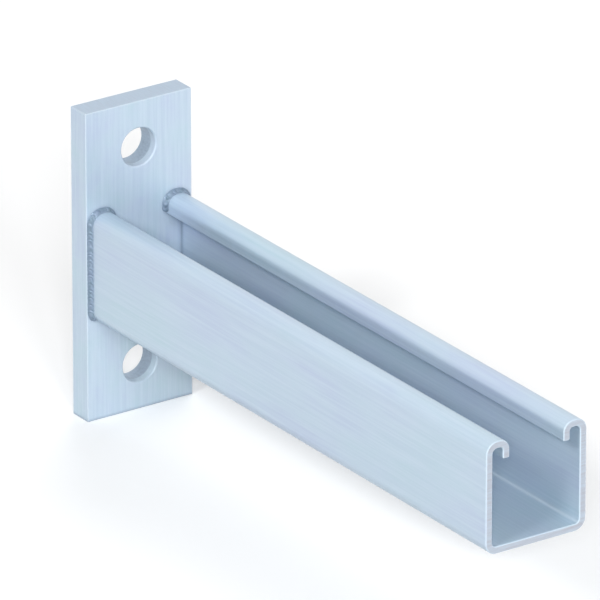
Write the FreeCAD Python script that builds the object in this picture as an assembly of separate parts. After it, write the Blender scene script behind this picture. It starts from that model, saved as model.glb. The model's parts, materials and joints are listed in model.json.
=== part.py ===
import FreeCAD, Part
import math
import os

# Cantilever strut arm: a lipped steel channel welded square to an upright flat plate.
# Millimetres, +Z up. The origin is the centre of the plate's back face, which bears on the
# wall or frame; +X runs out along the arm and the channel's open slot faces up.

# Strut channel
CHANNEL_SIZE = 41.3         # outside width and height, the common 1-5/8 in strut section
CHANNEL_WALL = 2.67         # 12 gauge strip
FLANGE_WIDTH = 9.55         # top flange, from the side of the channel to the open slot
LIP_DEPTH = 7.1             # how far a lip reaches down from the top of the channel
CORNER_BEND = 1.8           # inside radius of the four corner bends
LIP_BEND = 1.3              # inside radius where a flange turns down into its lip
STRIP_EDGE_RADIUS = 0.6     # rounded edges of the strip, seen at the ends of the lips
REACH = 250.0               # back of the plate to the free end of the arm
CUT_BREAK = 0.3             # deburred chamfer round the cut free end

# Back plate
PLATE_THICK = 9.5           # 3/8 in flat bar
PLATE_LEDGE = 1.6           # plate left showing on each side of the channel, for the weld
PLATE_EDGE_RADIUS = 0.25    # rounded arris on every outer edge of the plate
HOLE_DIAMETER = 14.3        # clearance for a 1/2 in or M12 bolt
HOLE_TO_ARM = 20.65         # centre of a hole to the top or the bottom of the channel
HOLE_TO_END = 17.45         # centre of a hole to the nearer end of the plate
HOLE_BREAK = 0.4            # chamfer on both rims of each hole

# Fillet welds
WELD_CHANNEL_LEG = 2.0      # how far the bead comes out along the channel
WELD_CROWN = 0.25           # height of the bead's rounded face above the straight toe-to-toe line
WELD_END_BEND = 40.0        # degrees of the bottom bend that the bead still follows

# Sizes that follow from the ones above
HALF_CHANNEL = CHANNEL_SIZE / 2
HALF_SLOT = HALF_CHANNEL - FLANGE_WIDTH
LIP_END_Z = HALF_CHANNEL - LIP_DEPTH
CORNER_RADIUS = CORNER_BEND + CHANNEL_WALL
LIP_RADIUS = LIP_BEND + CHANNEL_WALL
ARM_LENGTH = REACH - PLATE_THICK
PLATE_WIDTH = CHANNEL_SIZE + 2 * PLATE_LEDGE
HOLE_SPACING = CHANNEL_SIZE + 2 * HOLE_TO_ARM
PLATE_HEIGHT = HOLE_SPACING + 2 * HOLE_TO_END
WELD_PLATE_LEG = PLATE_LEDGE - PLATE_EDGE_RADIUS

X_AXIS = FreeCAD.Vector(1, 0, 0)
RIGHT_ANGLE = 90.0


def on_plate(y, z):
    """Point on the front face of the back plate, where the channel and the welds start."""
    return FreeCAD.Vector(PLATE_THICK, y, z)


def rounded_outline(corners, radii):
    """Closed wire through the corners, each one rounded to its own radius."""
    rounds = []
    for i in range(len(corners)):
        corner = corners[i]
        back = (corners[i - 1] - corner).normalize()
        ahead = (corners[(i + 1) % len(corners)] - corner).normalize()
        half_angle = back.getAngle(ahead) / 2
        trim = radii[i] / math.tan(half_angle)
        inward = (back + ahead).normalize()
        middle = corner + inward * (radii[i] / math.sin(half_angle) - radii[i])
        rounds.append((corner + back * trim, middle, corner + ahead * trim))
    edges = []
    for i in range(len(rounds)):
        start, middle, end = rounds[i]
        following = rounds[(i + 1) % len(rounds)][0]
        edges.append(Part.Arc(start, middle, end).toShape())
        edges.append(Part.makeLine(end, following))
    return Part.Wire(edges)


def strip_side(side, size, slot, lip_end, corner_radius, lip_radius):
    """Corners and radii down one side of the strip, from the end of its lip to the floor."""
    corners = [on_plate(side * slot, lip_end), on_plate(side * slot, size)]
    corners += [on_plate(side * size, size), on_plate(side * size, -size)]
    return corners, [STRIP_EDGE_RADIUS, lip_radius, corner_radius, corner_radius]


def channel_section():
    """Outline of the bent strip: its outside from lip to lip, then its inside back again."""
    outside = (HALF_CHANNEL, HALF_SLOT, LIP_END_Z, CORNER_RADIUS, LIP_RADIUS)
    inner_size = HALF_CHANNEL - CHANNEL_WALL
    inside = (inner_size, HALF_SLOT + CHANNEL_WALL, LIP_END_Z, CORNER_BEND, LIP_BEND)
    corners = []
    radii = []
    for face, first_side in ((outside, 1), (inside, -1)):
        down, down_radii = strip_side(first_side, *face)
        up, up_radii = strip_side(-first_side, *face)
        corners += down + up[::-1]
        radii += down_radii + up_radii[::-1]
    return rounded_outline(corners, radii)


def strut_channel():
    """Roll-formed channel with two inturned lips, its free end cut square and deburred."""
    channel = Part.Face(channel_section()).extrude(X_AXIS * ARM_LENGTH)
    free_end = [edge for edge in channel.Edges if edge.BoundBox.XMin > REACH - CUT_BREAK]
    return channel.makeChamfer(CUT_BREAK, free_end)


def bolt_hole(centre):
    """Cutter for one hole from the back face to the front face, with a chamfer on both rims."""
    radius = HOLE_DIAMETER / 2
    wide = radius + HOLE_BREAK
    front_rim = centre + X_AXIS * (PLATE_THICK - HOLE_BREAK)
    hole = Part.makeCylinder(radius, PLATE_THICK, centre, X_AXIS)
    back_break = Part.makeCone(wide, radius, HOLE_BREAK, centre, X_AXIS)
    front_break = Part.makeCone(radius, wide, HOLE_BREAK, front_rim, X_AXIS)
    return hole.fuse([back_break, front_break])


def back_plate():
    """Length of flat bar, standing upright, with a bolt hole above and below the arm."""
    low_corner = FreeCAD.Vector(0, -PLATE_WIDTH / 2, -PLATE_HEIGHT / 2)
    plate = Part.makeBox(PLATE_THICK, PLATE_WIDTH, PLATE_HEIGHT, low_corner)
    plate = plate.makeFillet(PLATE_EDGE_RADIUS, plate.Edges)
    for side in (-1, 1):
        plate = plate.cut(bolt_hole(FreeCAD.Vector(0, 0, side * HOLE_SPACING / 2)))
    return plate


def bead_section(foot, outward):
    """Cross-section of a fillet bead whose root is at foot, on the plate and the channel."""
    plate_toe = foot + outward * WELD_PLATE_LEG
    channel_toe = foot + X_AXIS * WELD_CHANNEL_LEG
    face_direction = outward * WELD_CHANNEL_LEG + X_AXIS * WELD_PLATE_LEG
    crown = (plate_toe + channel_toe) / 2 + face_direction.normalize() * WELD_CROWN
    outline = [
        Part.makeLine(foot, plate_toe),
        Part.Arc(plate_toe, crown, channel_toe).toShape(),
        Part.makeLine(channel_toe, foot),
    ]
    return Part.Face(Part.Wire(outline))


def straight_run(foot, outward, travel):
    """Bead along a flat stretch of the channel."""
    return bead_section(foot, outward).extrude(travel)


def turned_run(foot, outward, centre, degrees):
    """Bead round a bend with the given centre, or a rounded bead end when that is its foot."""
    return bead_section(foot, outward).revolve(centre, X_AXIS, degrees)


def bead_end_on_bend(centre):
    """Rounded end that lies on the bottom bend of the channel, with its hollow to match."""
    turn = math.radians(WELD_END_BEND)
    outward = FreeCAD.Vector(0, math.cos(turn), -math.sin(turn))
    foot = centre + outward * CORNER_RADIUS
    rounded_end = turned_run(foot, outward, foot, -2 * RIGHT_ANGLE)
    return rounded_end.cut(Part.makeCylinder(CORNER_RADIUS, WELD_CHANNEL_LEG, centre, X_AXIS))


def weld_bead():
    """Fillet bead round the +Y half of the channel, on its outside.

    It climbs the slot side of the lip, crosses the flange, runs down the side of the
    channel and stops part way round the bottom bend.
    """
    right = FreeCAD.Vector(0, 1, 0)
    up = FreeCAD.Vector(0, 0, 1)
    bend = HALF_CHANNEL - CORNER_RADIUS
    lip_centre = on_plate(HALF_SLOT + LIP_RADIUS, HALF_CHANNEL - LIP_RADIUS)
    top_centre = on_plate(bend, bend)
    bottom_centre = on_plate(bend, -bend)
    start = on_plate(HALF_SLOT, LIP_END_Z + STRIP_EDGE_RADIUS + WELD_PLATE_LEG)
    lip_end = turned_run(start, -right, start, RIGHT_ANGLE)
    runs = [
        straight_run(start, -right, up * (lip_centre.z - start.z)),
        turned_run(on_plate(HALF_SLOT, lip_centre.z), -right, lip_centre, -RIGHT_ANGLE),
        straight_run(on_plate(lip_centre.y, HALF_CHANNEL), up, right * (bend - lip_centre.y)),
        turned_run(on_plate(bend, HALF_CHANNEL), up, top_centre, -RIGHT_ANGLE),
        straight_run(on_plate(HALF_CHANNEL, bend), right, -up * 2 * bend),
        turned_run(on_plate(HALF_CHANNEL, -bend), right, bottom_centre, -WELD_END_BEND),
        bead_end_on_bend(bottom_centre),
    ]
    return lip_end.fuse(runs).removeSplitter()


weld_right = weld_bead()
weld_left = weld_right.mirror(FreeCAD.Vector(0, 0, 0), FreeCAD.Vector(0, 1, 0))

os.makedirs("parts", exist_ok=True)
back_plate().exportStep("parts/back_plate.step")
strut_channel().exportStep("parts/strut_channel.step")
weld_left.exportStep("parts/weld_left.step")
weld_right.exportStep("parts/weld_right.step")
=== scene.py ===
import json
import math

import bmesh
import bpy
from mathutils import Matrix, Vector


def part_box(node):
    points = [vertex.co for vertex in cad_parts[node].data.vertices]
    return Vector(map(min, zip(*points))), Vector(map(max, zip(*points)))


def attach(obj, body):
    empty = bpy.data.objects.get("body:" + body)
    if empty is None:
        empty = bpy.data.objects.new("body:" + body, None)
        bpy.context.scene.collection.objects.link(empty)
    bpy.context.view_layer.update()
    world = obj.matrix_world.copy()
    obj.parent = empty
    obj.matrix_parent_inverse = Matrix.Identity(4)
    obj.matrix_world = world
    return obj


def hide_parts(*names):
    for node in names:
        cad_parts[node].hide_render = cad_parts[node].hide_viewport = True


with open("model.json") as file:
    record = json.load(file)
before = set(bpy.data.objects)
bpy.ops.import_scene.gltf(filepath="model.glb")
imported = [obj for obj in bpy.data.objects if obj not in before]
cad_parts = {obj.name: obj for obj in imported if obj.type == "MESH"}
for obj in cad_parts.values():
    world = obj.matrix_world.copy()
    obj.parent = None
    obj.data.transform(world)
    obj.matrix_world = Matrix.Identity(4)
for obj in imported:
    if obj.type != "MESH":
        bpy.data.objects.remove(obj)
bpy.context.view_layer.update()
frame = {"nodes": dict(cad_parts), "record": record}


# Back plate
# A short length of hot-rolled flat steel bar, sheared square at both ends and punched with
# two bolt holes. The arm is welded to the middle of it, and the whole is then zinc plated.
MM = 0.001

plate_low, plate_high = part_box("back_plate")
bolts = next(m for m in frame["record"]["mounts"] if m["name"] == "plate_bolts")["dims"]
hole_height = bolts["spacing_y_mm"] / 2 * MM     # of a hole's centre, from the plate's
hole_radius = bolts["hole_r_mm"] * MM

# Zinc plate with a clear blue passivate over steel: a satin, pale grey-blue metal whose haze
# scatters part of the light. Outer edges get a paler tone, a painted highlight, and corners a
# darker one, a painted shade. The passivate gives it faint green and violet
# blooms, and the steel's own skin shows through it.
ZINC_TONES = ("#b7c9d9", "#b3cad6", "#b5c3d9", "#c5d4e2")   # plain, two faint blooms, streaks
# Painted highlight: a paler tone laid along outer edges, as if they caught the light
ZINC_EDGE_PAINTED_HIGHLIGHT = "#d4dfe8"
# Painted shade: a darker tone laid into corners and creases, where less light reaches
ZINC_CORNER_PAINTED_SHADE = "#8fa1b4"
ZINC_METALLIC = 0.35
EDGE_HIGHLIGHT_MM = 0.6
CORNER_SHADE_MM = 1.6

# A tone fades in where its pattern goes from the first of these values to the second, up to
# the third, which is its share there. For the painted edge highlight and corner shade, the
# pattern is the room round a spot, inside the steel or outside it, as a few lines of sight find
# it.
GREEN_BLOOM_FADE = (0.5, 0.32, 1.0)
VIOLET_BLOOM_FADE = (0.5, 0.68, 1.0)
STREAK_FADE = (0.38, 0.68, 0.6)
SCORE_FADE = (0.3, 0.7, 0.6)
EDGE_HIGHLIGHT_FADE = (0.95, 0.5, 0.75)
CORNER_SHADE_FADE = (0.95, 0.5, 0.85)
LINES_OF_SIGHT = 8

# The other patterns are coarse grain with finer and fainter grain in it. Two of them together
# make the skin's relief, so the single one of a cut counts double. The roughness goes from a
# little below its middle in the relief's low spots to as much above it in the high ones.
FINER_GRAINS = 5.0
FINER_GRAIN_STRENGTH = 0.55        # of that of the grain one size coarser
SCORE_DEPTH = 2.0
RELIEF_LOW = 0.7
RELIEF_HIGH = 1.3
ROUGHNESS_SPREAD = 0.06

# Hot-rolled bar is the rougher of the two steels, with shallow pits under the zinc.
BAR_CLOUDS_MM = (16.0, 16.0, 16.0)
BAR_SKIN_MM = (1.4, 1.4, 1.4)      # pits, drawn coarser than the real 0.3 mm to show
BAR_ROLLED_MM = (0.9, 0.9, 26.0)   # streaks up the bar, the way that it was rolled
BAR_ROUGHNESS = 0.42
BAR_RELIEF_MM = 0.035

# A shear leaves fine scores across the thickness, and a punch leaves a bright smooth rim
# at the front of its hole and a duller torn wall behind it.
SHEARED_TONE = "#a7b6c7"
SHEARED_MM = (6.0, 0.7, 0.7)       # scores, long through the thickness
TORN_TONE = "#98a9bb"
TORN_MM = (1.2, 0.8, 0.8)
TORN_SHARE = 0.66                  # of the hole's depth, from the back of the plate
HOLE_MARGIN = 0.1 * MM             # past a hole's radius, what still counts as its wall
END_DEPTH = 0.2 * MM               # how near its end a face has to lie to be the cut one
SQUARE_ENOUGH = 0.8                # how far along the axis such a face's normal points, of 1


def linear(hex_colour):
    """An sRGB hex colour as the linear RGBA that the shader takes."""
    rgba = []
    for i in (1, 3, 5):
        channel = int(hex_colour[i:i + 2], 16) / 255
        if channel <= 0.04045:
            rgba.append(channel / 12.92)
        else:
            rgba.append(((channel + 0.055) / 1.055) ** 2.4)
    return rgba + [1.0]


def add(tree, kind, inputs=None, **settings):
    """Add one node with its settings; an input is a value, or the output that feeds it."""
    node = tree.nodes.new("ShaderNode" + kind)
    for name, value in settings.items():
        setattr(node, name, value)
    for socket, value in (inputs or {}).items():
        if isinstance(value, bpy.types.NodeSocket):
            tree.links.new(value, node.inputs[socket])
        else:
            node.inputs[socket].default_value = value
    return node


def zinc_plated_steel(name, tones, clouds_mm, skin_mm, rolled_mm, roughness, relief_mm,
                      marks=(), edge_highlight_mm=EDGE_HIGHLIGHT_MM):
    """Satin zinc over steel. The sizes are those of its patterns' grains along X, Y and Z.

    Each mark is where a tool has cut: a function that masks it, its tone and its scores' size.
    """
    material = bpy.data.materials.new(name)
    material.use_nodes = True
    tree = material.node_tree
    tree.nodes.clear()
    place = add(tree, "TexCoord").outputs["Object"]
    patterns = []
    for sizes_mm in [clouds_mm, skin_mm, rolled_mm] + [scores_mm for _, _, scores_mm in marks]:
        grains_per_metre = [1 / (size * MM) for size in sizes_mm]
        sized = add(tree, "Mapping", {"Vector": place, "Scale": grains_per_metre})
        grain = add(tree, "TexNoise", {"Vector": sized.outputs[0], "Scale": 1.0,
                                       "Detail": FINER_GRAINS,
                                       "Roughness": FINER_GRAIN_STRENGTH})
        patterns.append(grain.outputs["Fac"])
    clouds, skin, rolled, *scores = patterns

    plain, green_bloom, violet_bloom, streak = tones
    tone = linear(plain)
    for pattern, (start, end, most), colour in ((clouds, GREEN_BLOOM_FADE, green_bloom),
                                                (clouds, VIOLET_BLOOM_FADE, violet_bloom),
                                                (rolled, STREAK_FADE, streak)):
        share = add(tree, "MapRange", {"Value": pattern, "From Min": start, "From Max": end,
                                       "To Max": most})
        tinted = add(tree, "Mix", {"Factor": share.outputs[0], "A": tone, "B": linear(colour)},
                     data_type="RGBA")
        tone = tinted.outputs["Result"]
    relief = add(tree, "Math", {0: rolled, 1: skin}, operation="ADD").outputs[0]

    start, end, most = SCORE_FADE
    for (where, colour, _), score in zip(marks, scores):
        mask = where(tree, place)
        share = add(tree, "MapRange", {"Value": score, "From Min": start, "From Max": end,
                                       "To Max": most})
        cut = add(tree, "Mix", {"Factor": share.outputs[0], "A": linear(colour),
                                "B": linear(plain)}, data_type="RGBA")
        marked = add(tree, "Mix", {"Factor": mask, "A": tone, "B": cut.outputs["Result"]},
                     data_type="RGBA")
        tone = marked.outputs["Result"]
        depth = add(tree, "Math", {0: score, 1: SCORE_DEPTH}, operation="MULTIPLY").outputs[0]
        scored = add(tree, "Mix", {"Factor": mask, "A": relief, "B": depth}, data_type="FLOAT")
        relief = scored.outputs["Result"]

    # A painted highlight on outer edges, then a painted shade in corners, each by how open a
    # spot is
    for inside, reach_mm, (start, end, most), colour in (
            (True, edge_highlight_mm, EDGE_HIGHLIGHT_FADE, ZINC_EDGE_PAINTED_HIGHLIGHT),
            (False, CORNER_SHADE_MM, CORNER_SHADE_FADE, ZINC_CORNER_PAINTED_SHADE)):
        room_round = add(tree, "AmbientOcclusion", {"Distance": reach_mm * MM}, inside=inside,
                         samples=LINES_OF_SIGHT)
        share = add(tree, "MapRange", {"Value": room_round.outputs["AO"], "From Min": start,
                                       "From Max": end, "To Max": most})
        tinted = add(tree, "Mix", {"Factor": share.outputs[0], "A": tone, "B": linear(colour)},
                     data_type="RGBA")
        tone = tinted.outputs["Result"]

    satin = add(tree, "MapRange", {"Value": relief, "From Min": RELIEF_LOW,
                                   "From Max": RELIEF_HIGH,
                                   "To Min": roughness - ROUGHNESS_SPREAD,
                                   "To Max": roughness + ROUGHNESS_SPREAD})
    bump = add(tree, "Bump", {"Height": relief, "Strength": 1.0, "Distance": relief_mm * MM})
    steel = add(tree, "BsdfPrincipled", {"Base Color": tone, "Metallic": ZINC_METALLIC,
                                         "Roughness": satin.outputs[0],
                                         "Normal": bump.outputs[0]})
    add(tree, "OutputMaterial", {"Surface": steel.outputs[0]})
    return material


def cut_square(tree, place, axis, end):
    """1 on the faces square to an axis that lie at an end of the piece, or else 0."""
    normal = add(tree, "NewGeometry").outputs["True Normal"]
    tests = []
    for vector, limit in ((place, end - END_DEPTH), (normal, SQUARE_ENOUGH)):
        along = add(tree, "SeparateXYZ", {"Vector": vector}).outputs[axis]
        size = add(tree, "Math", {0: along}, operation="ABSOLUTE").outputs[0]
        tests.append(add(tree, "Math", {0: size, 1: limit}, operation="GREATER_THAN"))
    at_end, square = tests
    both = add(tree, "Math", {0: at_end.outputs[0], 1: square.outputs[0]}, operation="MULTIPLY")
    return both.outputs[0]


def sheared_ends(tree, place):
    """1 on the plate's upper and lower ends, or else 0."""
    return cut_square(tree, place, "Z", plate_high.z)


def torn_hole_walls(tree, place):
    """1 on the rear part of each punched hole's wall, or else 0."""
    along = add(tree, "SeparateXYZ", {"Vector": place}).outputs
    height = add(tree, "Math", {0: along["Z"]}, operation="ABSOLUTE").outputs[0]
    above = add(tree, "Math", {0: height, 1: hole_height}, operation="SUBTRACT").outputs[0]
    around = add(tree, "CombineXYZ", {"Y": along["Y"], "Z": above}).outputs[0]
    radius = add(tree, "VectorMath", {"Vector": around}, operation="LENGTH").outputs["Value"]
    wall = add(tree, "Math", {0: radius, 1: hole_radius + HOLE_MARGIN}, operation="LESS_THAN")
    torn = plate_high.x * TORN_SHARE
    rear = add(tree, "Math", {0: along["X"], 1: torn}, operation="LESS_THAN")
    both = add(tree, "Math", {0: wall.outputs[0], 1: rear.outputs[0]}, operation="MULTIPLY")
    return both.outputs[0]


bar = zinc_plated_steel(
    "zinc_plated_hot_rolled_bar", ZINC_TONES, BAR_CLOUDS_MM, BAR_SKIN_MM, BAR_ROLLED_MM,
    BAR_ROUGHNESS, BAR_RELIEF_MM,
    [(sheared_ends, SHEARED_TONE, SHEARED_MM), (torn_hole_walls, TORN_TONE, TORN_MM)])
frame["nodes"]["back_plate"].material_slots[0].material = bar


# Strut channel
# Steel strip, roll-formed cold into a square channel with two inturned lips, then sawn off
# and welded to the plate by its other end. It was plated together with the plate.
_, channel_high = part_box("strut_channel")

# The rolls leave it smoother than the bar, with fine streaks that run along the arm. The
# saw's scores make its free end greyer and duller than its skin.
STRIP_CLOUDS_MM = (60.0, 22.0, 22.0)
STRIP_SKIN_MM = (1.1, 1.1, 1.1)      # drawn coarser than the real 0.2 mm to show
STRIP_ROLLED_MM = (45.0, 0.9, 0.9)
STRIP_ROUGHNESS = 0.36
STRIP_RELIEF_MM = 0.015
SAWN_TONE = "#a7aab4"
SAWN_MM = (0.8, 9.0, 0.8)            # scores, long from side to side


def sawn_end(tree, place):
    """1 on the channel's free end, or else 0."""
    return cut_square(tree, place, "X", channel_high.x)


strip = zinc_plated_steel(
    "zinc_plated_roll_formed_strip", ZINC_TONES, STRIP_CLOUDS_MM, STRIP_SKIN_MM,
    STRIP_ROLLED_MM, STRIP_ROUGHNESS, STRIP_RELIEF_MM, [(sawn_end, SAWN_TONE, SAWN_MM)])
frame["nodes"]["strut_channel"].material_slots[0].material = strip


# Weld beads
# Two fillet beads of weld metal, laid by hand up the slot side of each lip, over the top and
# down the side of the channel, and plated with the rest. Each froze in overlapping crescents
# as the torch moved on.
SLOT_HALF = 11.1 * MM          # from the channel's middle to a lip
LIP_END_DEPTH = 6.5 * MM       # from the channel's top to where the lip's edge rounds over
LIP_BEND = 3.97 * MM           # outside radii of the channel's bends
CORNER_BEND = 4.47 * MM
BOTTOM_BEND_REACHED = 57.0     # degrees of the bottom bend that the bead goes round
PLATE_LEG = 1.32 * MM          # how far the bead reaches over the plate
CHANNEL_LEG = 2.0 * MM         # and along the channel
BEAD_CROWN = 0.2 * MM          # how far its face bulges past the line between its toes
BEAD_TAPER = 1.5 * MM          # length over which each end rounds off
TAPER_LEAST = 0.1              # of the full section, left at the very end
RIPPLE_PITCH = 1.9 * MM        # drawn a little coarser than the real 1.2 mm to show
RIPPLE_HEIGHT = 0.24 * MM
RIPPLE_MEAN = 2 / math.pi      # of that height, taken off so that the bead keeps its size
RIPPLE_CRESCENT = 1.2 * MM     # how far a ripple's middle runs ahead of its ends
BEAD_STEP = 0.14 * MM          # from ring to ring along the bead
BEAD_ROWS = 12                 # of faces across it

# No hand moves a torch quite evenly, so the ripples stray from their pitch by these shares of
# it, in a slow and a quick wave that turn by so many radians in each mm of bead.
SLOW_STRAY = 0.22
SLOW_TURN = 0.9
QUICK_STRAY = 0.15
QUICK_TURN = 2.3

# Weld metal freezes with a grainier skin than rolled steel, so its zinc is darker and duller.
WELD_TONES = ("#74869a", "#6d8292", "#6a7992", "#8d9eb1")
WELD_CLOUDS_MM = (3.0, 3.0, 3.0)
WELD_SKIN_MM = (0.7, 0.7, 0.7)
WELD_RIPPLED_MM = (1.5, 1.5, 1.5)
WELD_ROUGHNESS = 0.46
WELD_RELIEF_MM = 0.02
WELD_EDGE_HIGHLIGHT_MM = 0.005           # a bead has no cut edge for the painted highlight, only thin toes


def round_the_channel():
    """Points and outward directions (Y, Z), in even steps round the channel's right half."""
    flange = channel_high.y - SLOT_HALF - LIP_BEND - CORNER_BEND
    side = 2 * (channel_high.z - CORNER_BEND)
    # Each move is a straight length, or the radius and the degrees of a bend
    moves = [(LIP_END_DEPTH - LIP_BEND, 0.0, 0.0), (0.0, LIP_BEND, 90.0), (flange, 0.0, 0.0),
             (0.0, CORNER_BEND, 90.0), (side, 0.0, 0.0),
             (0.0, CORNER_BEND, BOTTOM_BEND_REACHED)]
    point = Vector((SLOT_HALF, channel_high.z - LIP_END_DEPTH))
    outward = Vector((-1.0, 0.0))
    walk = [(point, outward)]
    for straight, radius, degrees in moves:
        steps = round((straight + radius * math.radians(degrees)) / BEAD_STEP)
        centre = point - outward * radius
        heading = Vector((outward.y, -outward.x))
        for step in range(1, steps + 1):
            turned = math.radians(degrees) * step / steps
            facing = outward * math.cos(turned) + heading * math.sin(turned)
            walk.append((centre + facing * radius + heading * straight * step / steps, facing))
        point, outward = walk[-1]
    return walk


def rippled_bead(name, side, start):
    """One bead, as rings of points from its toe on the plate over its face to the channel."""
    walk = round_the_channel()
    face_width = math.hypot(PLATE_LEG, CHANNEL_LEG)
    distances = [0.0]
    for (before, _), (after, _) in zip(walk, walk[1:]):
        distances.append(distances[-1] + (after - before).length)
    mesh = bmesh.new()
    rings = []
    for (point, outward), distance in zip(walk, distances):
        to_end = min(distance, distances[-1] - distance, BEAD_TAPER) / BEAD_TAPER
        fullness = max(TAPER_LEAST, math.sqrt(1 - (1 - to_end) ** 2))
        along_mm = distance / MM
        stray = (start + SLOW_STRAY * math.sin(SLOW_TURN * along_mm + start)
                 + QUICK_STRAY * math.sin(QUICK_TURN * along_mm))
        ring = []
        for row in range(BEAD_ROWS + 1):
            across = row / BEAD_ROWS
            middle = 4 * across * (1 - across)     # 1 half way across the face, 0 at its toes
            beat = (distance + RIPPLE_CRESCENT * middle) / RIPPLE_PITCH + stray
            ripple = RIPPLE_HEIGHT * (abs(math.sin(math.pi * beat)) - RIPPLE_MEAN)
            toe_waver = ripple / 2
            proud = (BEAD_CROWN + ripple) * middle / face_width
            off_channel = (PLATE_LEG + toe_waver) * (1 - across) + proud * CHANNEL_LEG
            off_plate = (CHANNEL_LEG + toe_waver) * across + proud * PLATE_LEG
            spot = point + outward * off_channel * fullness
            x = plate_high.x + off_plate * fullness
            ring.append(mesh.verts.new((x, side * spot.x, spot.y)))
        ring.append(mesh.verts.new((plate_high.x, side * point.x, point.y)))
        rings.append(ring)
    for before, after in zip(rings, rings[1:]):
        for i in range(len(before)):
            following = (i + 1) % len(before)
            mesh.faces.new((before[i], before[following], after[following], after[i]))
    mesh.faces.new(rings[0])
    mesh.faces.new(rings[-1])
    bmesh.ops.recalc_face_normals(mesh, faces=mesh.faces)
    for face in mesh.faces:
        face.smooth = True
    for before, after in zip(rings, rings[1:]):
        for toe in (0, BEAD_ROWS):
            mesh.edges.get((before[toe], after[toe])).smooth = False
    data = bpy.data.meshes.new(name)
    mesh.to_mesh(data)
    mesh.free()
    bead = bpy.data.objects.new(name, data)
    bpy.context.scene.collection.objects.link(bead)
    return bead


weld_metal = zinc_plated_steel(
    "zinc_plated_weld_metal", WELD_TONES, WELD_CLOUDS_MM, WELD_SKIN_MM, WELD_RIPPLED_MM,
    WELD_ROUGHNESS, WELD_RELIEF_MM, edge_highlight_mm=WELD_EDGE_HIGHLIGHT_MM)
# The ripples of the two start at different points, because no two beads are laid alike
for name, side, start in (("left", -1, 0.0), ("right", 1, 0.37)):
    bead = rippled_bead("bead_" + name, side, start)
    bead.data.materials.append(weld_metal)
    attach(bead, "root")
    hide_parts("weld_" + name)


# Floor
# A matt pale table that the plate's lower end stands on, which throws soft light back up at
# the steel. The camera and the metal see it as white, with the soft shadow of the arm on it.
TABLE_SIZE = 12.0    # metres each way

# Matt emulsion paint on board, which scatters what falls on it evenly and has no gloss.
TABLE_WHITE = "#b0b0ae"
SEEN_WHITE = "#ffffff"


def seen_directly(tree):
    """1 where it is seen, also in a gloss or through glass, or 0 for the light it gives."""
    rays = add(tree, "LightPath").outputs
    seen = rays["Is Camera Ray"]
    for other in ("Is Glossy Ray", "Is Transmission Ray"):
        seen = add(tree, "Math", {0: seen, 1: rays[other]}, operation="MAXIMUM").outputs[0]
    return seen


bpy.ops.mesh.primitive_plane_add(size=TABLE_SIZE, location=(0, 0, plate_low.z))
table = bpy.context.object
table.name = "table"
paint = bpy.data.materials.new("matt_white_table")
paint.use_nodes = True
tree = paint.node_tree
tree.nodes.clear()
white = add(tree, "Mix", {"Factor": seen_directly(tree), "A": linear(TABLE_WHITE),
                          "B": linear(SEEN_WHITE)}, data_type="RGBA")
matt = add(tree, "BsdfDiffuse", {"Color": white.outputs["Result"]})
add(tree, "OutputMaterial", {"Surface": matt.outputs[0]})
table.data.materials.append(paint)


# Lamps and room
# A softbox off the near side lights the steel and shows in its gloss. Two in front and one
# behind only fill, because their gloss would bleach its flat faces. The room is even and pale.
ROOM_GREY = "#8a8b8c"

world = bpy.data.worlds.new("pale_room")
bpy.context.scene.world = world
world.use_nodes = True
tree = world.node_tree
tree.nodes.clear()
room = add(tree, "Mix", {"Factor": seen_directly(tree), "A": linear(ROOM_GREY),
                         "B": linear(SEEN_WHITE)}, data_type="RGBA")
air = add(tree, "Background", {"Color": room.outputs["Result"], "Strength": 1.0})
add(tree, "OutputWorld", {"Surface": air.outputs[0]})


def towards(turn, rise):
    """The direction that lies these degrees round from the arm's own line and up."""
    turn = math.radians(turn)
    rise = math.radians(rise)
    level = math.cos(rise)
    return Vector((math.cos(turn) * level, math.sin(turn) * level, math.sin(rise)))


middle_of_arm = Vector((channel_high.x / 2, 0, 0))
for name, turn, rise, distance, size, watts, shines in (
        ("side_softbox", -75.0, 37.5, 5.0, 1.2, 96.0, True),
        ("front_softbox", -34.0, 23.0, 6.0, 1.0, 165.0, False),
        ("end_softbox", -16.0, 20.0, 3.0, 1.0, 54.0, False),
        ("rear_softbox", 130.0, 42.0, 3.0, 2.0, 41.0, False)):
    softbox = bpy.data.lights.new(name, "AREA")
    softbox.size = size
    softbox.energy = watts
    stand = bpy.data.objects.new(name, softbox)
    stand.visible_glossy = shines
    stand.location = middle_of_arm + towards(turn, rise) * distance
    stand.rotation_euler = towards(turn, rise).to_track_quat("Z", "Y").to_euler()
    bpy.context.scene.collection.objects.link(stand)


# Camera
# A long lens that looks at the arm from beyond its free end, about a tenth of a turn round
# to the near side and a little above.
CAMERA_TURN = -34.39     # degrees round from the arm's own line
CAMERA_RISE = 23.23      # degrees above the table
CAMERA_DISTANCE = 3.8    # metres
CAMERA_LENS = 647.23     # millimetres of focal length
CAMERA_REACH = 100.0     # metres, which takes in the whole table
AIM_RIGHT = 56.56 * MM   # the picture's middle, from the middle of the plate's front face
AIM_UP = -15.71 * MM

back = towards(CAMERA_TURN, CAMERA_RISE)
right = Vector((0, 0, 1)).cross(back).normalized()
up = back.cross(right)
aim = Vector((plate_high.x, 0, 0)) + right * AIM_RIGHT + up * AIM_UP
lens = bpy.data.cameras.new("camera")
lens.lens = CAMERA_LENS
lens.clip_end = CAMERA_REACH
camera = bpy.data.objects.new("camera", lens)
camera.location = aim + back * CAMERA_DISTANCE
camera.rotation_euler = back.to_track_quat("Z", "Y").to_euler()
bpy.context.scene.collection.objects.link(camera)
bpy.context.scene.camera = camera
bpy.context.scene.view_settings.view_transform = "Standard"
